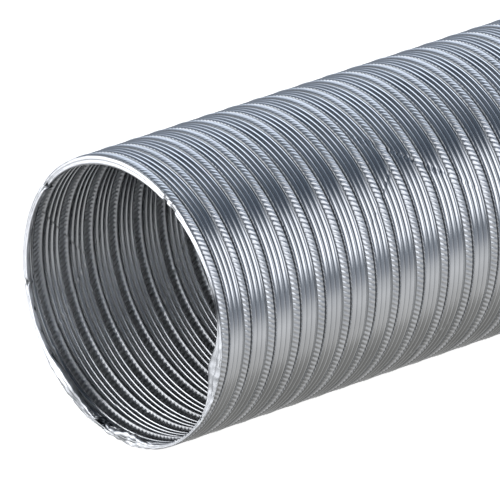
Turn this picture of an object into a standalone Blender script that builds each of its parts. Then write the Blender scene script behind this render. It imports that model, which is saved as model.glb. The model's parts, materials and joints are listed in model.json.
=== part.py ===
"""Semi-rigid aluminium air duct, 125 mm across, in its compressed state.

One corrugated foil strip is wound in a left-hand helix and locked to itself along a knurled seam.
The duct lies along +Y on the floor. The origin is on the floor under the middle of the duct.
Each turn of the strip is a body of its own: its knurled lock seam and the ribbed web behind it.
Each turn hangs on a pivot on the duct's axis, where it bends or slides against the turn before.
"""

import math

import bmesh
import bpy
from mathutils import Vector

MM = 0.001

# Driving dimensions of the duct.
OUTER_RADIUS = 62.5 * MM
PITCH = 13.5 * MM
TURNS = 22
LENGTH = TURNS * PITCH

# The wall is faceted, with one facet flat on the floor, so that the duct lies still.
FACETS = 20
FACET_ANGLE = 2 * math.pi / FACETS
CORNER_FACTOR = 1 / math.cos(FACET_ANGLE / 2)
SPLIT_ANGLE = -math.pi / 2 - FACET_ANGLE / 2

# Where the seam and the web lie along the axis, counted from the seam's step, as shares of the pitch.
# A turn meets the one before it along a spiral, and the joint is half way along that spiral.
SEAM_START = -0.28
SEAM_NOTCH = 0.02
SEAM_RIDGE = 0.07
SEAM_END = 0.13
WEB_END = SEAM_START + 1
JOINT_PLACE = SEAM_START + 0.5
PIECE_GAP = 0.3 * MM
SPLIT_GAP = 1.5 * MM

# Depths below the outer radius, which the ribs' crests reach. The seam's band slopes down to its step.
WALL_DEPTH = 1.7 * MM
RIB_DEPTH = 0.6 * MM
BAND_SHOULDER_DEPTH = 0.1 * MM
BAND_STEP_DEPTH = 0.5 * MM
SEAM_NOTCH_DEPTH = 1.0 * MM
SEAM_RIDGE_DEPTH = 0.5 * MM
RIBS_PER_WEB = 3

# The cut ends are folded in and back on themselves.
HEM_WIDTH = 2.7 * MM
HEM_FLAP = 4.5 * MM
HEM_RADIUS = OUTER_RADIUS - 0.5 * MM
HEM_FACE_RADIUS = OUTER_RADIUS - 1.3 * MM
HEM_INNER_RADIUS = OUTER_RADIUS - 2.7 * MM
FOIL_FOLD = 0.7 * MM
WALL_START = HEM_WIDTH + PIECE_GAP

# Facets of the first and last turns that the square-cut ends leave.
FIRST_SEAM_FACET = 4
FIRST_WEB_FACET = -8
LAST_SEAM_FACET = 19
LAST_WEB_FACET = 11

SHARP_ANGLE = math.radians(30)


def clear_scene():
    for obj in list(bpy.data.objects):
        bpy.data.objects.remove(obj, do_unlink=True)


def aluminium(name, colour, roughness):
    material = bpy.data.materials.new(name)
    material.use_nodes = True
    shader = material.node_tree.nodes["Principled BSDF"]
    shader.inputs["Base Color"].default_value = (*colour, 1)
    shader.inputs["Roughness"].default_value = roughness
    shader.inputs["Metallic"].default_value = 1
    return material


def section_face(bm, section, facet):
    """One cross-section of the wall at a facet corner, as a face that holds the duct's axis."""
    angle = SPLIT_ANGLE + facet * FACET_ANGLE
    rise = facet * PITCH / FACETS
    corners = []
    for along, radius in section:
        reach = radius * CORNER_FACTOR
        corners.append(bm.verts.new((reach * math.cos(angle), along + rise, reach * math.sin(angle))))
    return bm.faces.new(corners)


def sweep(bm, face, facets, rise):
    """Spins a section face about the duct's axis and returns the face at the far end."""
    swept = bmesh.ops.spin(
        bm,
        geom=[face, *face.edges, *face.verts],
        cent=(0, 0, 0),
        axis=(0, 1, 0),
        dvec=(0, rise, 0),
        angle=-facets * FACET_ANGLE,
        steps=facets,
    )
    return next(item for item in swept["geom_last"] if isinstance(item, bmesh.types.BMFace))


def shorten_end(face, distance):
    """Draws an end of a swept strip back along its last facet, which stays flat."""
    moves = []
    for corner in face.verts:
        along_strip = next(edge for edge in corner.link_edges if face not in edge.link_faces)
        inward = along_strip.other_vert(corner).co - corner.co
        moves.append((corner, inward.normalized() * distance))
    for corner, move in moves:
        corner.co += move


def finished_mesh(bm, name, material):
    bmesh.ops.recalc_face_normals(bm, faces=bm.faces)
    mesh = bpy.data.meshes.new(name)
    bm.to_mesh(mesh)
    bm.free()
    mesh.shade_smooth()
    mesh.set_sharp_from_angle(angle=SHARP_ANGLE)
    mesh.materials.append(material)
    return mesh


def strip_mesh(name, section, material, first=0, last=FACETS):
    """A length of the helical strip, from one facet corner to another, counted from the turn's split line."""
    bm = bmesh.new()
    start = section_face(bm, section, first)
    end = sweep(bm, start, last - first, PITCH / FACETS)
    start = min(
        (face for face in bm.faces if len(face.verts) == len(section)),
        key=lambda face: face.calc_center_median().y,
    )
    shorten_end(start, SPLIT_GAP / 2)
    shorten_end(end, SPLIT_GAP / 2)
    return finished_mesh(bm, name, material)


def seam_section():
    """The flat knurled band, the notch beside it and the small toothed ridge."""
    start = SEAM_START * PITCH + PIECE_GAP / 2
    end = SEAM_END * PITCH - PIECE_GAP / 2
    inner = OUTER_RADIUS - WALL_DEPTH
    notch = SEAM_NOTCH * PITCH
    ridge = SEAM_RIDGE * PITCH
    return [
        (start, inner),
        (end, inner),
        (end, OUTER_RADIUS - SEAM_NOTCH_DEPTH),
        (ridge, OUTER_RADIUS - SEAM_RIDGE_DEPTH),
        (notch, OUTER_RADIUS - SEAM_NOTCH_DEPTH),
        (-notch, OUTER_RADIUS - BAND_STEP_DEPTH),
        (start, OUTER_RADIUS - BAND_SHOULDER_DEPTH),
    ]


def web_section():
    """A thin wall with round-backed ribs side by side."""
    start = SEAM_END * PITCH + PIECE_GAP / 2
    end = WEB_END * PITCH - PIECE_GAP / 2
    inner = OUTER_RADIUS - WALL_DEPTH
    half_rib = (end - start) / (2 * RIBS_PER_WEB)
    outer = []
    for index in range(2 * RIBS_PER_WEB, -1, -1):
        depth = 0 if index % 2 else RIB_DEPTH
        outer.append((start + index * half_rib, OUTER_RADIUS - depth))
    return [(start, inner), (end, inner), *outer]


def hem_section():
    """The cut edge: a short band outside, a flat end face and a flap folded back inside the wall."""
    return [
        (0, HEM_INNER_RADIUS),
        (HEM_FLAP, HEM_INNER_RADIUS),
        (HEM_FLAP, HEM_INNER_RADIUS + FOIL_FOLD),
        (2 * FOIL_FOLD, HEM_INNER_RADIUS + FOIL_FOLD),
        (HEM_WIDTH, HEM_RADIUS - FOIL_FOLD),
        (HEM_WIDTH, HEM_RADIUS),
        (FOIL_FOLD, HEM_RADIUS),
        (0, HEM_FACE_RADIUS),
    ]


def hem_mesh(name, material, inward):
    """A closed ring. inward is +1 for the front end and -1 for the rear end."""
    bm = bmesh.new()
    section = [(inward * along, radius) for along, radius in hem_section()]
    face = section_face(bm, section, 0)
    bmesh.ops.spin(
        bm,
        geom=[*face.edges, *face.verts],
        cent=(0, 0, 0),
        axis=(0, 1, 0),
        angle=2 * math.pi,
        steps=FACETS,
        use_merge=True,
    )
    bmesh.ops.delete(bm, geom=[face], context="FACES_ONLY")
    bmesh.ops.remove_doubles(bm, verts=bm.verts, dist=0.001 * MM)
    return finished_mesh(bm, name, material)


def place(name, mesh, pivot, position):
    """Adds a named piece at a point given in the world, parented to its turn's pivot."""
    obj = bpy.data.objects.new(name, mesh)
    bpy.context.collection.objects.link(obj)
    obj.parent = pivot
    obj.location = position - world_point(pivot)
    return obj


def world_point(obj):
    point = obj.location.copy()
    while obj.parent:
        obj = obj.parent
        point += obj.location
    return point


def axis_point(along):
    """A point on the duct's axis, at a distance from the front end."""
    return Vector((0, along - LENGTH / 2, OUTER_RADIUS))


def add_pivots():
    """One empty per turn, each at the joint to the turn before and parented to that turn's empty."""
    pivots = []
    for turn in range(TURNS):
        pivot = bpy.data.objects.new(f"turn_{turn + 1:02d}_pivot", None)
        bpy.context.collection.objects.link(pivot)
        pivot.empty_display_size = PITCH
        point = axis_point((turn + JOINT_PLACE) * PITCH)
        if pivots:
            pivot.parent = pivots[-1]
            point -= world_point(pivots[-1])
        pivot.location = point
        pivots.append(pivot)
    return pivots


def trim_box():
    """The space between the two hems, which cuts the first and last turns square."""
    bm = bmesh.new()
    bmesh.ops.create_cube(bm, size=1)
    width = 3 * OUTER_RADIUS
    bmesh.ops.scale(bm, verts=bm.verts, vec=(width, LENGTH - 2 * WALL_START, width))
    mesh = bpy.data.meshes.new("trim_box")
    bm.to_mesh(mesh)
    bm.free()
    box = bpy.data.objects.new("trim_box", mesh)
    bpy.context.collection.objects.link(box)
    box.location = axis_point(LENGTH / 2)
    box.hide_render = True
    box.display_type = "WIRE"
    return box


def trim(obj, box):
    cut = obj.modifiers.new("square_end", "BOOLEAN")
    cut.operation = "INTERSECT"
    cut.solver = "EXACT"
    cut.object = box


def add_turns(pivots, seam_material, web_material):
    seam, web = seam_section(), web_section()
    full_seam = strip_mesh("lock_seam", seam, seam_material)
    full_web = strip_mesh("ribbed_web", web, web_material)
    first_seam = strip_mesh("first_lock_seam", seam, seam_material, first=FIRST_SEAM_FACET)
    first_web = strip_mesh("first_ribbed_web", web, web_material, first=FIRST_WEB_FACET)
    last_seam = strip_mesh("last_lock_seam", seam, seam_material, last=LAST_SEAM_FACET)
    last_web = strip_mesh("last_ribbed_web", web, web_material, last=LAST_WEB_FACET)
    ends = {0: (first_seam, first_web), TURNS - 1: (last_seam, last_web)}
    box = trim_box()
    for turn, pivot in enumerate(pivots):
        start = axis_point(turn * PITCH)
        seam_mesh, web_mesh = ends.get(turn, (full_seam, full_web))
        pieces = [
            place(f"lock_seam_{turn + 1:02d}", seam_mesh, pivot, start),
            place(f"ribbed_web_{turn + 1:02d}", web_mesh, pivot, start),
        ]
        if turn in ends:
            for piece in pieces:
                trim(piece, box)


def add_hems(pivots, material):
    place("front_hem", hem_mesh("front_hem", material, 1), pivots[0], axis_point(0))
    place("rear_hem", hem_mesh("rear_hem", material, -1), pivots[-1], axis_point(LENGTH))


def build():
    clear_scene()
    pivots = add_pivots()
    seam_material = aluminium("knurled_seam", (0.62, 0.64, 0.67), 0.38)
    web_material = aluminium("ribbed_foil", (0.72, 0.74, 0.77), 0.22)
    hem_material = aluminium("folded_edge", (0.80, 0.82, 0.84), 0.18)
    add_turns(pivots, seam_material, web_material)
    add_hems(pivots, hem_material)


build()
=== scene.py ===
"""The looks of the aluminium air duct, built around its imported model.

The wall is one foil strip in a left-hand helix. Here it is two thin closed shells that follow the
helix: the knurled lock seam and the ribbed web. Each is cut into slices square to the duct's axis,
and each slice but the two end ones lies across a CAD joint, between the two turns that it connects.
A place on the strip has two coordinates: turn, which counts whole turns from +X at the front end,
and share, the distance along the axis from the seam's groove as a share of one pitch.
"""

import json
import math

import bpy
import numpy as np
from mathutils import Matrix, Vector

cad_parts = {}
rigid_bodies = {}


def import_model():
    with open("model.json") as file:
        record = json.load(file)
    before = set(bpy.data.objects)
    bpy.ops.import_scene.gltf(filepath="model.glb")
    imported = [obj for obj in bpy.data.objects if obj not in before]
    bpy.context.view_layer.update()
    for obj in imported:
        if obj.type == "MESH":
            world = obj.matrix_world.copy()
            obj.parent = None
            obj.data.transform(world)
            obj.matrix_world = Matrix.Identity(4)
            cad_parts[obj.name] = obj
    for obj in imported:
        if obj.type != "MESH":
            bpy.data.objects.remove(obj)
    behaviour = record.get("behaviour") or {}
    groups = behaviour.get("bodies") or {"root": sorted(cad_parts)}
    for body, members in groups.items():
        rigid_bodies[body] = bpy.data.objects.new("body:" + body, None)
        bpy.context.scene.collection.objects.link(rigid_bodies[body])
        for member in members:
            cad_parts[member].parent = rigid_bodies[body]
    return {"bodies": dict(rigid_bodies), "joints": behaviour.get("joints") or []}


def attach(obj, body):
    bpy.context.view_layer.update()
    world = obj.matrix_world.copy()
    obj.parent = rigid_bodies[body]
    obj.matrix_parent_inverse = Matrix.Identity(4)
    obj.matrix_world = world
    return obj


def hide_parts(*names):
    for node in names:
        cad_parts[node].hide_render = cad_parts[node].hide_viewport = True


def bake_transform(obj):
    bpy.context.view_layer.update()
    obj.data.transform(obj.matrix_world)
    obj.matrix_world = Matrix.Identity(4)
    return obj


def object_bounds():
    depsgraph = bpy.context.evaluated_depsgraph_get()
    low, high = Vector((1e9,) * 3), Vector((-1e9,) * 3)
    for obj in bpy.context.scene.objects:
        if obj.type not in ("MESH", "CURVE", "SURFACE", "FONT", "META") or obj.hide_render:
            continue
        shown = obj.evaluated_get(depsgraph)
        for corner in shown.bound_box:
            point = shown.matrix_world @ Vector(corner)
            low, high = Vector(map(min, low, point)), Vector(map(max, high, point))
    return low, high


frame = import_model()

MM = 0.001
TINY = 1e-12
CAD_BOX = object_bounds()
LOW, HIGH = CAD_BOX
RADIUS = (HIGH.x - LOW.x) / 2
AXIS_HEIGHT = (LOW.z + HIGH.z) / 2
FRONT = LOW.y
REAR = HIGH.y
TURNS = len(frame["bodies"])
PITCH = (REAR - FRONT) / TURNS
SEED = 11

# The strip's lay. The square-cut turns lean a little, and the seam wanders in waves, each given by
# how often it comes in a turn and where it starts. The strip is laid out past both ends and cut square.
FIRST_GROOVE = 2.8 * MM
LEAN = 0.95 * MM
LEAN_ANGLE = math.radians(10)
WANDER = 0.28 * MM
WANDER_WAVES = ((0.83, 1.1), (1.37, 0.4), (2.61, 2.3))
STRIP_SPARE = 1.2

# The first turn is pulled a little open on one side: how far, where and over how much of the turn.
PULLED_OPEN = 1.3 * MM
PULLED_PLACE = 0.03
PULLED_REACH = 0.14

# The lock seam, as shares of the pitch from its groove. EASE is how wide one surface runs into the next.
EASE = 0.01
SEAM_START = -0.325
BAND_START = -0.30
BAND_CROWN = -0.19
BAND_END = -0.016
GROOVE_END = 0.026
RIDGE_TOP = 0.058
RIDGE_SHOULDER = 0.008
SEAM_END = 0.10
KNURL_RUN_IN = 0.03
KNURL_RUN_OUT = 0.02
TEETH_PER_TURN = 176
COLUMNS_PER_TOOTH = 6
TOOTH_SLANT = -0.55

# The ribbed web between two seams. Its edges go under the seams on both sides.
WEB_START = 0.07
FIRST_VALLEY = 0.08
RIB_SHARE = 0.192
RIBS = 3
WEB_END = 0.70
WEB_TUCK = 0.02
WEB_COLUMNS_PER_TURN = 720

# Rows of the two grids, closer where the surface turns sharply. A rib's rows are shares of its width.
EDGE_ROWS = (SEAM_START, BAND_START, BAND_START + 0.025)
BAND_ROWS = (BAND_START + 0.06, BAND_END - 0.02, 6)
GROOVE_ROWS = (BAND_END - 0.007, BAND_END + EASE, GROOVE_END)
RIDGE_ROWS = (0.027, RIDGE_TOP - RIDGE_SHOULDER, RIDGE_TOP + 0.005, 0.072, SEAM_END)
RIB_ROWS = (0, 0.06, 0.16, 0.3, 0.5, 0.7, 0.84, 0.94)
LAST_VALLEY_WIDTH = 0.015

# Depths below the outer radius. A rib's power below 1 makes the valley beside it sharp.
RIB_HEIGHT = 0.78 * MM
RIB_POWER = 0.75
WEB_DROP = 0.22 * MM
RIB_BACK_HEIGHT = 1.1 * MM
RIB_BACK_POWER = 0.5
BAND_TOP = 0.03 * MM
BAND_SHOULDER = 0.42 * MM
BAND_FOOT = 0.4 * MM
EDGE_DROP = 0.5 * MM
GROOVE_DEPTH = 1.9 * MM
RIDGE_DEPTH = 0.42 * MM
RIDGE_FALL = 0.5 * MM
KNURL_DEPTH = 0.28 * MM
TOOTH_DEPTH = 0.5 * MM
FOIL = 0.42 * MM
BEAD_DEPTH = 2.3 * MM
BEAD_MIDDLE = (BAND_END + GROOVE_END) / 2
BEAD_WIDTH = 0.05
ROPE_MIDDLE = (BAND_START + BAND_END) / 2
ROPE_WIDTH = 0.16
BACK_KNURL_DEPTH = 0.6 * MM
SKIN = 0.03 * MM

# Shallow dents, and creases that run askew across two to four turns. The reaches are in dent sizes
# and crease lengths. Round the wall both reach further than along it. The fade is in crease widths.
DENTS_IN_WALL = 34
DENT_SIZES = (6 * MM, 14 * MM)
DENT_DEPTHS = (0.05 * MM, 0.16 * MM)
DENT_REACH = 3
CREASES_IN_WALL = 22
CREASE_LENGTHS = (12 * MM, 28 * MM)
CREASE_LEANS = (0.7, 1.2)
CREASE_WIDTH = 0.6 * MM
CREASE_SHIFT = 0.24 * MM
CREASE_DEPTH = 0.09 * MM
CREASE_REACH = 1.6
CREASE_FADE = 5
ROUND_REACH = 1.5

# How much painted shade darkens the metal's colour, from 0 to 1, and the shares over which it starts and
# ends: in the groove, on the band's first edge, in the gaps, in the valleys and all over the inside.
ROPE_PAINTED_SHADE = 0.15
INSIDE_PAINTED_SHADE = 0.4
GROOVE_PAINTED_SHADE = 0.95
EDGE_PAINTED_SHADE = 0.65
GAP_PAINTED_SHADE = 0.34
TOOTH_GAP_PAINTED_SHADE = 0.25
VALLEY_PAINTED_SHADE = 0.55
VALLEY_POWER = 4
GROOVE_SHADE_STARTS = (BAND_END - 0.006, BAND_END + 0.008)
GROOVE_SHADE_ENDS = (RIDGE_TOP - 0.022, RIDGE_TOP)
EDGE_SHADE_ENDS = (BAND_START, BAND_START + 0.02)

# What each point of a mesh carries for its material: its painted shade, and whether it is inside.
MARKS = ("painted_shade", "inside")

# The folded ends: how far the fold reaches over the wall and inside it, and how wide its face is.
HEM_TOP = 0.5 * MM
HEM_OVERLAP = 0.5 * MM
HEM_FACE = 2.2 * MM
HEM_TONGUE = 1.5 * MM
TONGUE_SHARE = 0.3
HEM_COLUMNS = 1500
HEM_ROW_STEP = 0.4 * MM
TUCK = 0.7 * MM
TUCK_STARTS = 0.6 * MM
TUCK_ENDS = 0.2 * MM
WALL_START = 0.4 * MM

# The fold's crumples: how many waves, how often they come round the end, and how deep they are.
CRUMPLE_COUNT = 9
CRUMPLE_WAVES = (8, 90)
CRUMPLE_DRIFT = 0.35
CRUMPLE_MIDDLE = 0.64
CRUMPLE_FALL = 0.6
CRUMPLE_ALONG = 0.35 * MM
CRUMPLE_DEPTH = 0.34 * MM
EVEN_ROUGHNESS = 0.16
NICK_DEPTH_SHARE = 0.35
# The opening, of a nick or an open fold, at which its painted shade is full.
PAINTED_SHADE_OPENING = 1.2 * MM

# Places round the fold, as (angle in degrees from +X to the top, half width in degrees, size).
# The size is in mm in the first three, the painted shade in SHADED and how crumpled in RAGGED.
FACE_CHANGES = (
    (98, 40, 1.5), (188, 30, 0.3), (-126, 14, 2.6), (-88, 11, 2.4), (-52, 15, -1.2), (-12, 12, 5.2),
    (22, 14, -0.7),
)
NICKS = (
    (142, 1.1, 1.3), (63, 0.8, 1.3), (58, 1.1, 1.5), (-104, 2.2, 2.2), (-36, 1.6, 1.2), (-171, 1.0, 0.8),
)
OPEN_FOLDS = ((16, 8, 1.1), (-120, 6, 0.8))
SHADED = ((-12, 16, 0.5), (-100, 12, 0.2))
RAGGED = ((-112, 34, 1.0), (-88, 14, 0.9), (142, 6, 0.6), (60, 8, 0.5), (-12, 16, 0.5))
REAR_TURNED = math.radians(155)


def smooth(edge_0, edge_1, x):
    """0 at the first edge, rising smoothly to 1 at the second, which may be the lower one."""
    t = np.clip((x - edge_0) / (edge_1 - edge_0), 0, 1)
    return t * t * (3 - 2 * t)


def wander(turn):
    """The seam's slow drift along the axis, which differs from turn to turn."""
    drift = 0
    for number, (rate, start) in enumerate(WANDER_WAVES):
        drift = drift + np.sin(2 * np.pi * rate * turn + start) / (1 + number)
    return WANDER * drift


def groove_y(turn):
    """The y from which the strip's shares are counted."""
    angle = 2 * np.pi * turn
    pulled = PULLED_OPEN * np.exp(-((turn - PULLED_PLACE) / PULLED_REACH) ** 2)
    return FRONT + FIRST_GROOVE + PITCH * turn - LEAN * np.sin(angle - LEAN_ANGLE) + wander(turn) + pulled


def along_axis(turn, share):
    """The y of a place on the strip. Between two grooves it is spaced evenly."""
    here = groove_y(turn)
    ahead = groove_y(turn + 1) - here
    behind = here - groove_y(turn - 1)
    return here + share * np.where(share < 0, behind, ahead)


def knurl(turn):
    """0 on the crown of a bar of the knurling, rising to 1 in the gap between two bars."""
    phase = (turn * TEETH_PER_TURN) % 1
    return (2 * phase - 1) ** 2


def teeth(turn):
    """The same for the ridge's teeth, which stand opposite the gaps between the bars."""
    return knurl(turn + 0.5 / TEETH_PER_TURN)


def on_band(share):
    """1 on the band and 0 beside it. The knurling fades in and out at the two edges."""
    fade_in = smooth(BAND_START, BAND_START + KNURL_RUN_IN, share)
    fade_out = smooth(BAND_END - KNURL_RUN_OUT, BAND_END, share)
    return fade_in * (1 - fade_out)


def band_depth(share):
    """The band is crowned and falls off at both edges."""
    beside = share - BAND_CROWN
    fall = np.where(beside < 0, beside / (BAND_START - BAND_CROWN), beside / (BAND_END - BAND_CROWN))
    low = np.where(beside < 0, BAND_SHOULDER, BAND_FOOT)
    edge = EDGE_DROP * smooth(BAND_START + EASE, SEAM_START, share)
    return BAND_TOP + (low - BAND_TOP) * fall ** 2 + edge


def seam_depth(turn, share):
    """Outside of the lock seam: the knurled band, its step, the groove and the toothed ridge."""
    band = band_depth(share) + KNURL_DEPTH * knurl(turn) * on_band(share)
    ridge = RIDGE_DEPTH + TOOTH_DEPTH * teeth(turn)
    ridge = ridge + RIDGE_FALL * smooth(RIDGE_TOP + EASE, SEAM_END, share)
    rise = smooth(GROOVE_END, RIDGE_TOP - RIDGE_SHOULDER, share)
    valley = GROOVE_DEPTH + (ridge - GROOVE_DEPTH) * rise
    step = smooth(BAND_END - EASE, BAND_END + EASE, share)
    return band + (valley - band) * step


def bump(share, middle, width):
    """A rounded bump, 1 at its middle and 0 at a width to either side."""
    return np.clip(1 - ((share - middle) / width) ** 2, 0, 1)


def seam_back_depth(turn, share):
    """Inside of the lock seam: the knurling shows through as a rope, beside the bead behind the groove.

    It passes outside of seam_depth in a narrow strip at each of the seam's two edges.
    """
    rope = BAND_FOOT + FOIL + BACK_KNURL_DEPTH * knurl(turn) * bump(share, ROPE_MIDDLE, ROPE_WIDTH)
    bead = bump(share, BEAD_MIDDLE, BEAD_WIDTH) ** 0.5
    return rope + (BEAD_DEPTH - rope) * bead


def rib_wave(share):
    """0 in the valley between two ribs, rising to 1 on a rib's back."""
    return np.abs(np.sin(np.pi * (share - FIRST_VALLEY) / RIB_SHARE))


def under_seams(share):
    """The web's two edges dip to pass under the seams."""
    first = smooth(FIRST_VALLEY, WEB_START, share)
    last = smooth(WEB_END - WEB_TUCK, WEB_END, share)
    return EDGE_DROP * (first + last)


def web_depth(_turn, share):
    """Round-backed ribs with sharp valleys between them."""
    return WEB_DROP + RIB_HEIGHT * (1 - rib_wave(share) ** RIB_POWER) + under_seams(share)


def web_back_depth(_turn, share):
    """Inside, the valleys stand out as thin sharp ridges, higher than the ribs outside."""
    return WEB_DROP + FOIL + RIB_BACK_HEIGHT * (1 - rib_wave(share) ** RIB_BACK_POWER) + under_seams(share)


class Dents:
    """Shallow dents and creases in the wall, placed once from the seed."""

    def __init__(self):
        rng = np.random.default_rng(SEED)
        self.dents = [
            (*self.place(rng), rng.uniform(*DENT_SIZES), rng.uniform(*DENT_DEPTHS))
            for _ in range(DENTS_IN_WALL)
        ]
        self.creases = [
            (
                *self.place(rng),
                rng.choice((-1, 1)) * rng.uniform(*CREASE_LEANS),
                rng.uniform(*CREASE_LENGTHS),
            )
            for _ in range(CREASES_IN_WALL)
        ]

    @staticmethod
    def place(rng):
        """An angle and a y anywhere on the wall."""
        return rng.uniform(0, 2 * np.pi), rng.uniform(FRONT, REAR)

    def shifts(self, angle, y):
        """How far each point moves along the axis, and how much deeper it lies."""
        shift = np.zeros_like(y)
        deeper = np.zeros_like(y)
        for centre, along, size, deep in self.dents:
            near, across, off = self.near(angle, y, centre, along, DENT_REACH * size)
            deeper[near] += deep * np.exp(-(across ** 2 + off ** 2) / (2 * size ** 2))
        for centre, along, lean, length in self.creases:
            near, across, off = self.near(angle, y, centre, along, CREASE_REACH * length)
            beside = (across - lean * off) / CREASE_WIDTH
            ends = (off / length) ** 4
            shift[near] += CREASE_SHIFT * np.tanh(beside) * np.exp(-np.abs(beside) / CREASE_FADE - ends)
            deeper[near] += CREASE_DEPTH * np.exp(-beside ** 2 / 2 - ends)
        return shift, deeper

    @staticmethod
    def near(angle, y, centre, along, reach):
        """Points within reach of a place on the wall, with their distances round the wall and along it."""
        off = y - along
        across = RADIUS * ((angle - centre + np.pi) % (2 * np.pi) - np.pi)
        near = np.nonzero((np.abs(off) < reach) & (np.abs(across) < ROUND_REACH * reach))
        return near, across[near], off[near]


DENTS = Dents()


def end_tuck(y):
    """How far the wall drops to pass under the folded ends."""
    reach = np.minimum(y - FRONT, REAR - y)
    return TUCK * smooth(HEM_OVERLAP + TUCK_STARTS, HEM_OVERLAP - TUCK_ENDS, reach)


def surface(angle, y, depth):
    """Points at a depth below the duct's outer radius."""
    radius = RADIUS - SKIN - depth
    return np.stack([radius * np.cos(angle), y, AXIS_HEIGHT + radius * np.sin(angle)], -1)


def unit(vectors):
    return vectors / (np.linalg.norm(vectors, axis=-1, keepdims=True) + TINY)


def grid_normals(points, outward):
    """Unit normals of a grid of points, from its neighbours along and across the strip."""
    along = np.gradient(points, axis=1)
    across = np.gradient(points, axis=0)
    normal = unit(np.cross(along, across))
    radial = points - np.array([0, 0, AXIS_HEIGHT])
    radial[..., 1] = 0
    side = np.sign((normal * radial).sum(-1).mean()) * outward
    return normal * side


def cell_corners(mask):
    """Which points of the grid are a corner of a kept cell."""
    used = np.pad(mask, 1)
    return used[:-1, :-1] | used[1:, :-1] | used[:-1, 1:] | used[1:, 1:]


def slice_piece(name, mask, outer, inner, uv, material):
    """One closed shell from the cells of the strip's grid that the mask keeps."""
    used = cell_corners(mask)
    index = np.full(used.shape, -1)
    count = int(used.sum())
    index[used] = np.arange(count)
    row, column = np.nonzero(mask)
    quads = np.stack(
        [index[row, column], index[row, column + 1], index[row + 1, column + 1], index[row + 1, column]], -1
    )
    front, back = outer["points"][used], inner["points"][used]
    points = [front, back]
    normals = [outer["normals"][used], inner["normals"][used]]
    uvs = [uv[used], uv[used]]
    marks = {mark: [outer[mark][used], inner[mark][used]] for mark in MARKS}
    faces = [quads[:, ::-1], quads + count]
    rim = boundary_edges(mask, index)
    a, b = rim[:, 0], rim[:, 1]
    corners = [front[a], front[b], back[b], back[a]]
    wall = unit(np.cross(corners[1] - corners[0], corners[3] - corners[0]))
    for corner, source in zip(corners, (a, b, b, a)):
        points.append(corner)
        normals.append(wall)
        uvs.append(uv[used][source])
        for mark in MARKS:
            marks[mark].append(inner[mark][used][source])
    each = len(rim)
    steps = np.arange(each)[:, None]
    faces.append(2 * count + steps + each * np.array([[0, 1, 2, 3]]))
    marks = {mark: np.concatenate(values) for mark, values in marks.items()}
    return new_mesh(name, np.concatenate(points), np.concatenate(faces), np.concatenate(normals),
                    np.concatenate(uvs), marks, material)


def boundary_edges(mask, index):
    """Grid edges with a kept cell on one side only, each turned so that the kept cell is on its left."""
    padded = np.pad(mask, 1)
    kept = padded[1:-1, 1:-1]
    edges = []
    row, column = np.nonzero(kept & ~padded[:-2, 1:-1])
    edges.append(np.stack([index[row, column], index[row, column + 1]], -1))
    row, column = np.nonzero(kept & ~padded[2:, 1:-1])
    edges.append(np.stack([index[row + 1, column + 1], index[row + 1, column]], -1))
    row, column = np.nonzero(kept & ~padded[1:-1, :-2])
    edges.append(np.stack([index[row + 1, column], index[row, column]], -1))
    row, column = np.nonzero(kept & ~padded[1:-1, 2:])
    edges.append(np.stack([index[row, column + 1], index[row + 1, column + 1]], -1))
    return np.concatenate(edges)


def new_mesh(name, points, faces, normals, uv, marks, material):
    """Adds an object made of four-sided faces, with its normals, texture map and marks."""
    mesh = bpy.data.meshes.new(name)
    mesh.vertices.add(len(points))
    mesh.vertices.foreach_set("co", points.astype(np.float32).ravel())
    mesh.loops.add(faces.size)
    mesh.loops.foreach_set("vertex_index", faces.astype(np.int32).ravel())
    mesh.polygons.add(len(faces))
    mesh.polygons.foreach_set("loop_start", np.arange(0, faces.size, 4, dtype=np.int32))
    mesh.update(calc_edges=True)
    layer = mesh.uv_layers.new(name="strip")
    layer.data.foreach_set("uv", uv[faces.ravel()].astype(np.float32).ravel())
    for mark, values in marks.items():
        mesh.attributes.new(mark, "FLOAT", "POINT").data.foreach_set("value", values.astype(np.float32))
    mesh.shade_smooth()
    mesh.normals_split_custom_set_from_vertices(normals.astype(np.float32))
    mesh.materials.append(material)
    obj = bpy.data.objects.new(name, mesh)
    bpy.context.scene.collection.objects.link(obj)
    return obj


def seam_painted_shade(turn, share):
    """Painted shade in the groove, on the band's first edge and in the gaps between the bars and the teeth.
    """
    in_groove = smooth(*GROOVE_SHADE_STARTS, share) * (1 - smooth(*GROOVE_SHADE_ENDS, share))
    groove = GROOVE_PAINTED_SHADE * in_groove
    edge = EDGE_PAINTED_SHADE * (1 - smooth(*EDGE_SHADE_ENDS, share))
    on_ridge = smooth(GROOVE_END, RIDGE_TOP - EASE, share)
    gaps = GAP_PAINTED_SHADE * knurl(turn) ** 2 * on_band(share)
    tooth_gaps = TOOTH_GAP_PAINTED_SHADE * teeth(turn) * on_ridge
    return np.clip(groove + edge + gaps + tooth_gaps, 0, 1)


# Painted shade all over the inside of the seam, a little more on the rope.
def seam_back_painted_shade(share):
    return INSIDE_PAINTED_SHADE + ROPE_PAINTED_SHADE * bump(share, ROPE_MIDDLE, ROPE_WIDTH)


# Painted shade all over the inside of the web.
def web_back_painted_shade(share):
    return np.full_like(share, INSIDE_PAINTED_SHADE)


def web_painted_shade(_turn, share):
    """Painted shade in the valleys between the ribs."""
    return VALLEY_PAINTED_SHADE * (1 - rib_wave(share)) ** VALLEY_POWER


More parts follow.
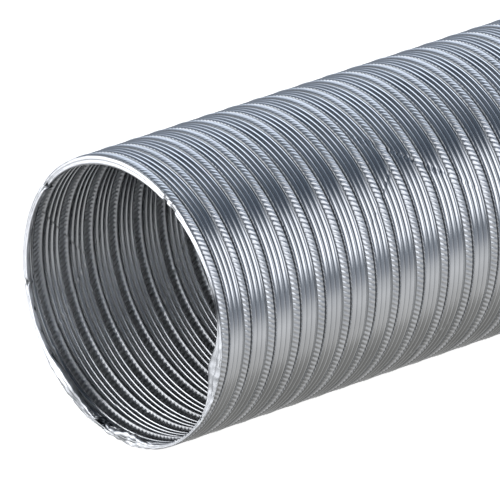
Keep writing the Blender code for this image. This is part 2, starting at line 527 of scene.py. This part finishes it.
def strip_grid(shares, columns_per_turn, slant, looks):
    """The outer and inner sides of a whole strip as grids, one row for each share.

    looks holds four functions: the depths outside and inside, and the painted shade that darkens each side.
    """
    depth_of, back_depth_of, painted_shade_of, back_painted_shade_of = looks
    first, last = -STRIP_SPARE, TURNS + STRIP_SPARE
    columns = int((last - first) * columns_per_turn) + 1
    turn = first + np.arange(columns)[None, :] / columns_per_turn
    share = np.array(shares)[:, None]
    lean = slant * share * PITCH / (2 * np.pi * RADIUS)
    turn = turn + lean
    share = np.broadcast_to(share, turn.shape)
    angle = 2 * np.pi * turn
    y = along_axis(turn, share)
    shift, deeper = DENTS.shifts(angle, y)
    y = y + shift
    deeper = deeper + end_tuck(y)
    sides = []
    for side_depth, outward in ((depth_of, 1), (back_depth_of, -1)):
        points = surface(angle, y, side_depth(turn - lean, share) + deeper)
        sides.append({"points": points, "normals": grid_normals(points, outward)})
    outer, inner = sides
    outer["painted_shade"] = painted_shade_of(turn - lean, share)
    inner["painted_shade"] = back_painted_shade_of(share)
    outer["inside"] = np.zeros_like(y)
    inner["inside"] = np.ones_like(y)
    uv = np.stack([turn * 2 * np.pi * RADIUS, share * PITCH], -1)
    return outer, inner, uv


def joint_planes():
    """The y of the planes that separate the slices, half a pitch to each side of every joint."""
    first = min(joint["pos_m"][1] for joint in frame["joints"] if "pos_m" in joint)
    return [first + (number - 0.5) * PITCH for number in range(TURNS)]


PLANES = joint_planes()
BODIES = sorted(frame["bodies"])


def follow(piece, number):
    """Slice 0 rides on the first turn, the last slice on the last, and the others lie unattached across a
    joint.
    """
    if number == 0:
        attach(piece, BODIES[0])
    elif number == TURNS:
        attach(piece, BODIES[-1])
    else:
        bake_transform(piece)


def add_strip(kind, shares, columns_per_turn, slant, looks, material):
    """Adds a strip's slices, cut square at both ends. Slice 0 stands in for the CAD's turn 1, slice 1
    for turn 2 and so on. The last slice stands in for none."""
    outer, inner, uv = strip_grid(shares, columns_per_turn, slant, looks)
    y = outer["points"][..., 1]
    centre = (y[:-1, :-1] + y[1:, :-1] + y[:-1, 1:] + y[1:, 1:]) / 4
    inside = (centre > FRONT + WALL_START) & (centre < REAR - WALL_START)
    number = np.searchsorted(np.array(PLANES), centre)
    for slice_number in range(TURNS + 1):
        piece = slice_piece(f"{kind}_slice_{slice_number:02d}", inside & (number == slice_number),
                            outer, inner, uv, material)
        follow(piece, slice_number)
        if slice_number < TURNS:
            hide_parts(f"{kind}_{slice_number + 1:02d}")


def seam_shares():
    return [*EDGE_ROWS, *np.linspace(*BAND_ROWS), *GROOVE_ROWS, *RIDGE_ROWS]


def web_shares():
    shares = [WEB_START]
    for rib in range(RIBS):
        low = FIRST_VALLEY + rib * RIB_SHARE
        shares += [low + step * RIB_SHARE for step in RIB_ROWS]
    last = FIRST_VALLEY + RIBS * RIB_SHARE
    return shares + [last, last + LAST_VALLEY_WIDTH, WEB_END]


def fold_places(places, angle):
    """Adds up smooth humps at places round the fold, with their sizes taken as mm."""
    total = np.zeros_like(angle)
    for middle, half_width, size in places:
        off = (np.degrees(angle) - middle + 180) % 360 - 180
        total = total + size * MM * np.exp(-(off / half_width) ** 2)
    return total


def crumple(angle, rows, rng):
    """Uneven folds across the foil: ridged waves of several lengths that turn from row to row."""
    row = np.arange(rows)[:, None]
    total = np.zeros((rows, len(angle)))
    for waves in rng.integers(*CRUMPLE_WAVES, CRUMPLE_COUNT):
        drift = rng.uniform(-CRUMPLE_DRIFT, CRUMPLE_DRIFT)
        start = rng.uniform(0, 2 * np.pi)
        ridges = np.abs(np.sin(waves * angle / 2 + drift * row + start)) - CRUMPLE_MIDDLE
        total += ridges / (waves / CRUMPLE_WAVES[0]) ** CRUMPLE_FALL
    return total


def hem_section(face, tongue, gap):
    """Distances from the end, and depths, all the way round the fold: from over the wall, down the
    end's face, in along the tongue and back. The face, the tongue and the gap differ with the angle."""
    top, overlap = HEM_TOP, HEM_OVERLAP
    return [
        (overlap, top - 0.12 * MM),
        (0.6 * overlap, top - 0.16 * MM),
        (0.3 * MM, top),
        (0.05 * MM, top + 0.14 * face),
        (0, top + 0.28 * face),
        (0.1 * MM, top + 0.40 * face),
        (0.4 * MM + gap, top + 0.49 * face),
        (0.1 * MM, top + 0.58 * face),
        (0, top + 0.72 * face),
        (0.12 * MM, top + 0.88 * face),
        (0.5 * MM, top + 0.98 * face),
        (1.5 * MM, top + face + 0.05 * MM),
        (0.5 * tongue, top + face + 0.12 * MM),
        (tongue, top + face + 0.1 * MM),
        (tongue + 0.05 * MM, top + face - 0.15 * MM),
        (0.5 * tongue, top + face - 0.2 * MM),
        (1.2 * MM + gap, top + 0.6 * face),
        (1.1 * MM, top + 0.5 * MM),
        (overlap + 0.02 * MM, top + 0.2 * MM),
    ]


def hem_grid(end, inward, turned, rng):
    """The fold's points and its painted shade, as grids over the section's rows and the angle."""
    angle = np.linspace(0, 2 * np.pi, HEM_COLUMNS, endpoint=False)
    local = angle - turned
    face = HEM_FACE + fold_places(FACE_CHANGES, local)
    gap = fold_places(OPEN_FOLDS, local)
    nick = fold_places(NICKS, local)
    section = hem_section(face, HEM_TONGUE + TONGUE_SHARE * (face - HEM_FACE), gap)
    along = np.stack(np.broadcast_arrays(*(place for place, _ in section)))
    depth = np.stack(np.broadcast_arrays(*(deep for _, deep in section)))
    rough = EVEN_ROUGHNESS + fold_places(RAGGED, local) / MM
    rows = len(section)
    along = along + CRUMPLE_ALONG * rough * (1 + crumple(angle, rows, rng)) + nick
    depth = depth + CRUMPLE_DEPTH * rough * crumple(angle, rows, rng) + NICK_DEPTH_SHARE * nick
    along = np.maximum(along, 0)
    radius = RADIUS - np.maximum(depth, SKIN)
    height = AXIS_HEIGHT + radius * np.sin(angle)
    points = np.stack([radius * np.cos(angle), end + inward * along, height], -1)
    # Painted shade in the nicks and the open folds, and at the SHADED places.
    hem_shade = np.clip((nick + gap) / PAINTED_SHADE_OPENING + fold_places(SHADED, local) / MM, 0, 1)
    painted_shade = np.tile(hem_shade, (rows, 1))
    round_end = np.tile(angle * RADIUS, (rows, 1))
    uv = np.stack([round_end, np.cumsum(np.full_like(along, HEM_ROW_STEP), axis=0)], -1)
    return points, painted_shade, uv


def add_hem(name, end, inward, turned, material, body):
    """A folded end as a closed ring. inward is +1 at the front end and -1 at the rear end."""
    points, painted_shade, uv = hem_grid(end, inward, turned, np.random.default_rng(SEED + inward))
    rows, columns = painted_shade.shape
    index = np.arange(rows * columns).reshape(rows, columns)
    after = np.roll(index, -1, 1)
    faces = np.stack([index, after, np.roll(after, -1, 0), np.roll(index, -1, 0)], -1).reshape(-1, 4)
    if inward < 0:
        faces = faces[:, ::-1]
    across = np.roll(points, -1, 0) - np.roll(points, 1, 0)
    forward = np.roll(points, -1, 1) - np.roll(points, 1, 1)
    normals = unit(np.cross(across, forward) * -inward)
    hem = new_mesh(name, points.reshape(-1, 3), faces, normals.reshape(-1, 3), uv.reshape(-1, 2),
                   {"painted_shade": painted_shade.ravel(), "inside": np.zeros(painted_shade.size)}, material)
    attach(hem, body)
    return hem


def node_tree(owner):
    """The node tree of a material or a world."""
    owner.use_nodes = True
    return owner.node_tree


# The foil's look. The lines' scale is along and across the strip. Clouds and lines are noise textures.
# The dark colour that the painted shade mixes into the foil.
PAINTED_SHADE_COLOUR = (0.05, 0.055, 0.06)
INSIDE_ROUGHER = 0.06
LINES_SCALE = (90, 4000, 1)
LINES_DETAIL = 4
LINES_ROUGHNESS = (-0.05, 0.07)
LINES_BUMP = 0.08
LINES_HEIGHT = 0.05 * MM
CLOUD_SCALE = 55
CLOUD_DETAIL = 5
CLOUD_RANGE = (0.3, 0.7)
CLOUD_SHADE = 0.86


def noise(tree, vector, scale, detail):
    node = tree.nodes.new("ShaderNodeTexNoise")
    node.inputs["Scale"].default_value = scale
    node.inputs["Detail"].default_value = detail
    tree.links.new(vector, node.inputs["Vector"])
    return node.outputs["Fac"]


def rolling_lines(tree):
    """Fine lines along the strip, from the rolling of the foil."""
    coordinates = tree.nodes.new("ShaderNodeUVMap")
    coordinates.uv_map = "strip"
    stretch = tree.nodes.new("ShaderNodeMapping")
    stretch.inputs["Scale"].default_value = LINES_SCALE
    tree.links.new(coordinates.outputs["UV"], stretch.inputs["Vector"])
    return noise(tree, stretch.outputs["Vector"], 1, LINES_DETAIL)


def mark_value(tree, mark):
    """What the mesh's points carry under a mark's name."""
    node = tree.nodes.new("ShaderNodeAttribute")
    node.attribute_name = mark
    return node.outputs["Fac"]


def foil_colour(tree, colour):
    """Cloudy metal, darkened by painted shade."""
    position = tree.nodes.new("ShaderNodeTexCoord").outputs["Object"]
    tint = tree.nodes.new("ShaderNodeValToRGB")
    dark, pale = tint.color_ramp.elements
    dark.position, pale.position = CLOUD_RANGE
    dark.color = (*(c * CLOUD_SHADE for c in colour), 1)
    pale.color = (*colour, 1)
    tree.links.new(noise(tree, position, CLOUD_SCALE, CLOUD_DETAIL), tint.inputs["Fac"])
    shade_paint = tree.nodes.new("ShaderNodeRGB")
    shade_paint.outputs["Color"].default_value = (*PAINTED_SHADE_COLOUR, 1)
    return mix_colours(tree, mark_value(tree, "painted_shade"), tint.outputs["Color"], shade_paint.outputs["Color"])


def foil_roughness(tree, lines, roughness):
    """The lines vary it, and it is a little higher inside the duct."""
    gloss = tree.nodes.new("ShaderNodeMapRange")
    gloss.inputs["To Min"].default_value = roughness + LINES_ROUGHNESS[0]
    gloss.inputs["To Max"].default_value = roughness + LINES_ROUGHNESS[1]
    tree.links.new(lines, gloss.inputs["Value"])
    duller = tree.nodes.new("ShaderNodeMath")
    duller.operation = "MULTIPLY_ADD"
    duller.inputs[1].default_value = INSIDE_ROUGHER
    tree.links.new(mark_value(tree, "inside"), duller.inputs[0])
    tree.links.new(gloss.outputs["Result"], duller.inputs[2])
    return duller.outputs["Value"]


def foil_bump(tree, lines):
    node = tree.nodes.new("ShaderNodeBump")
    node.inputs["Strength"].default_value = LINES_BUMP
    node.inputs["Distance"].default_value = LINES_HEIGHT
    tree.links.new(lines, node.inputs["Height"])
    return node.outputs["Normal"]


def foil_material(name, colour, roughness):
    """Bright rolled aluminium: fine lines along the strip, cloudy patches and painted shade in the low
    places.
    """
    material = bpy.data.materials.new(name)
    tree = node_tree(material)
    shader = tree.nodes["Principled BSDF"]
    shader.inputs["Metallic"].default_value = 1
    lines = rolling_lines(tree)
    tree.links.new(foil_colour(tree, colour), shader.inputs["Base Color"])
    tree.links.new(foil_roughness(tree, lines, roughness), shader.inputs["Roughness"])
    tree.links.new(foil_bump(tree, lines), shader.inputs["Normal"])
    return material


# A sheet of pale paper that glows a little and isn't seen in the foil, which reflects the studio.
FLOOR_SIZE = 60
PAPER_COLOUR = (0.9, 0.9, 0.9, 1)
PAPER_ROUGHNESS = 0.9
PAPER_GLOW_COLOUR = (1, 0.99, 0.97, 1)
PAPER_GLOW = 0.8


def add_floor():
    bpy.ops.mesh.primitive_plane_add(size=FLOOR_SIZE, location=(0, 0, LOW.z))
    floor = bpy.context.object
    floor.name = "floor"
    material = bpy.data.materials.new("floor_paper")
    shader = node_tree(material).nodes["Principled BSDF"]
    shader.inputs["Base Color"].default_value = PAPER_COLOUR
    shader.inputs["Roughness"].default_value = PAPER_ROUGHNESS
    shader.inputs["Emission Color"].default_value = PAPER_GLOW_COLOUR
    shader.inputs["Emission Strength"].default_value = PAPER_GLOW
    floor.data.materials.append(material)
    floor.visible_glossy = False


# The studio that the foil reflects. Colours by height, from -1 straight down to 1 straight up: the floor
# and the dark ceiling all round, and the glow of pale panels that stand on the horizon.
SURROUND = [
    (-1.0, (0.17, 0.17, 0.165)), (-0.8, (0.25, 0.25, 0.245)), (-0.7, (0.43, 0.43, 0.43)),
    (-0.38, (0.57, 0.58, 0.60)), (-0.26, (0.47, 0.485, 0.51)), (-0.15, (0.27, 0.29, 0.33)),
    (0.02, (0.17, 0.195, 0.23)), (0.2, (0.12, 0.14, 0.175)), (0.6, (0.085, 0.105, 0.135)),
    (0.72, (0.05, 0.065, 0.09)), (0.88, (0.055, 0.07, 0.095)), (1.0, (0.13, 0.155, 0.19)),
]
GLOW = [
    (-1.0, 0), (0.01, 0), (0.06, 0.28), (0.12, 0.48), (0.2, 1.0), (0.66, 1.0), (0.74, 0.6), (0.80, 0.1),
    (0.84, 0), (1.0, 0),
]
# The panels' colours by compass angle in degrees, from -180 in front, past -90 on the left and 0 behind.
PANELS = [
    (-180, (0.15, 0.16, 0.18)), (-66, (0.08, 0.09, 0.11)), (-52, (0.9, 1.0, 1.16)),
    (-26, (1.15, 1.27, 1.45)), (-16, (1.0, 1.1, 1.26)), (-10, (0.55, 0.62, 0.73)),
    (-4, (0.1, 0.12, 0.15)), (24, (0, 0, 0)), (29, (0.12, 0.13, 0.15)),
    (35, (0.65, 0.67, 0.73)), (42, (1.15, 1.18, 1.26)), (64, (1.3, 1.33, 1.4)),
    (95, (1.25, 1.28, 1.35)), (108, (0.5, 0.51, 0.54)), (122, (0, 0, 0)),
    (155, (0, 0, 0)), (180, (0.15, 0.16, 0.18)),
]
# Round glows, as (direction, reach, colour). The reach is where the glow starts and where it is full,
# as cosines of the angle from its direction.
GLOWS = [
    ((-0.35, -0.86, -0.38), (0.62, 0.86), (0.9, 0.92, 0.95)),
    ((-0.40, -0.90, 0.15), (0.76, 0.88), (3.2, 3.25, 3.35)),
]


def ramp(tree, value, stops, low, high):
    """A node that gives the colour, or the grey, of the stops at a value between low and high."""
    node = tree.nodes.new("ShaderNodeValToRGB")
    elements = node.color_ramp.elements
    elements.remove(elements[-1])
    for number, (place, colour) in enumerate(stops):
        element = elements[0] if number == 0 else elements.new((place - low) / (high - low))
        element.color = (*colour, 1) if isinstance(colour, tuple) else (colour, colour, colour, 1)
    elements[0].position = 0
    tree.links.new(map_range(tree, value, low, high, "LINEAR"), node.inputs["Fac"])
    return node.outputs["Color"]


def map_range(tree, value, low, high, interpolation="SMOOTHSTEP"):
    """A node that turns a value from low to high into 0 to 1. Low may be the larger of the two."""
    node = tree.nodes.new("ShaderNodeMapRange")
    node.interpolation_type = interpolation
    node.inputs["From Min"].default_value = low
    node.inputs["From Max"].default_value = high
    tree.links.new(value, node.inputs["Value"])
    return node.outputs["Result"]


def mix_colours(tree, share, a, b, blend="MIX"):
    """A node that blends two colours. Without a share the second one counts in full."""
    node = tree.nodes.new("ShaderNodeMix")
    node.data_type = "RGBA"
    node.blend_type = blend
    node.clamp_result = False
    if share is None:
        node.inputs["Factor"].default_value = 1
    else:
        tree.links.new(share, node.inputs["Factor"])
    tree.links.new(a, node.inputs["A"])
    tree.links.new(b, node.inputs["B"])
    return node.outputs["Result"]


def add_studio():
    world = bpy.data.worlds.new("studio")
    bpy.context.scene.world = world
    tree = node_tree(world)
    direction = tree.nodes.new("ShaderNodeTexCoord").outputs["Generated"]
    parts = tree.nodes.new("ShaderNodeSeparateXYZ")
    tree.links.new(direction, parts.inputs["Vector"])
    x, y, z = (parts.outputs[axis] for axis in "XYZ")
    compass = tree.nodes.new("ShaderNodeMath")
    compass.operation = "ARCTAN2"
    tree.links.new(x, compass.inputs[0])
    tree.links.new(y, compass.inputs[1])
    panel_stops = [(math.radians(angle), colour) for angle, colour in PANELS]
    panels = ramp(tree, compass.outputs["Value"], panel_stops, -math.pi, math.pi)
    glow = mix_colours(tree, None, ramp(tree, z, GLOW, -1, 1), panels, "MULTIPLY")
    room = mix_colours(tree, None, ramp(tree, z, SURROUND, -1, 1), glow, "ADD")
    for spot, reach, colour in GLOWS:
        room = add_glow(tree, direction, room, spot, reach, colour)
    tree.links.new(room, tree.nodes["Background"].inputs["Color"])


def add_glow(tree, direction, room, spot, reach, colour):
    """Lays one round glow over the room's colours."""
    toward = tree.nodes.new("ShaderNodeVectorMath")
    toward.operation = "DOT_PRODUCT"
    toward.inputs[1].default_value = spot
    tree.links.new(direction, toward.inputs[0])
    paint = tree.nodes.new("ShaderNodeRGB")
    paint.outputs["Color"].default_value = (*colour, 1)
    return mix_colours(tree, map_range(tree, toward.outputs["Value"], *reach), room, paint.outputs["Color"])


# The camera, fitted to the duct's proportions. Lengths are in duct radii.
VIEW_AZIMUTH = math.radians(48.78)
VIEW_ELEVATION = math.radians(22.4)
VIEW_DISTANCE = 94.7356
VIEW_TARGET = 1.2
VIEW_RIGHT = -0.0588
VIEW_UP = 0.0458
LENS = 1034.7
SENSOR_WIDTH = 36
CLIP_START = 0.5
CLIP_END = 200


def add_camera():
    back = Vector((
        math.sin(VIEW_AZIMUTH) * math.cos(VIEW_ELEVATION),
        -math.cos(VIEW_AZIMUTH) * math.cos(VIEW_ELEVATION),
        math.sin(VIEW_ELEVATION),
    ))
    right = (-back).cross(Vector((0, 0, 1))).normalized()
    up = right.cross(-back)
    target = Vector((0, FRONT + VIEW_TARGET * RADIUS, AXIS_HEIGHT))
    camera = bpy.data.objects.new("camera", bpy.data.cameras.new("camera"))
    bpy.context.scene.collection.objects.link(camera)
    turned = Matrix((right, up, back)).transposed()
    camera.rotation_mode = "QUATERNION"
    camera.rotation_quaternion = turned.to_quaternion()
    camera.location = target + RADIUS * (VIEW_DISTANCE * back + VIEW_RIGHT * right + VIEW_UP * up)
    camera.data.lens = LENS
    camera.data.sensor_width = SENSOR_WIDTH
    camera.data.clip_start = CLIP_START
    camera.data.clip_end = CLIP_END
    bpy.context.scene.camera = camera


seam_material = foil_material("knurled_seam", (0.93, 0.94, 0.95), 0.32)
web_material = foil_material("ribbed_foil", (0.90, 0.91, 0.92), 0.13)
# The folded edge's colour is painted darker than the rest of the foil, as painted shade that tones down its
# highlights.
hem_material = foil_material("folded_edge", (0.72, 0.73, 0.75), 0.43)
add_strip("lock_seam", seam_shares(), TEETH_PER_TURN * COLUMNS_PER_TOOTH, TOOTH_SLANT,
          (seam_depth, seam_back_depth, seam_painted_shade, seam_back_painted_shade), seam_material)
add_strip("ribbed_web", web_shares(), WEB_COLUMNS_PER_TURN, 0,
          (web_depth, web_back_depth, web_painted_shade, web_back_painted_shade), web_material)
front_hem = add_hem("front_folded_edge", FRONT, 1, 0, hem_material, BODIES[0])
rear_hem = add_hem("rear_folded_edge", REAR, -1, REAR_TURNED, hem_material, BODIES[-1])
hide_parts("front_hem")
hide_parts("rear_hem")
add_floor()
add_studio()
add_camera()
bpy.context.scene.view_settings.view_transform = "Standard"
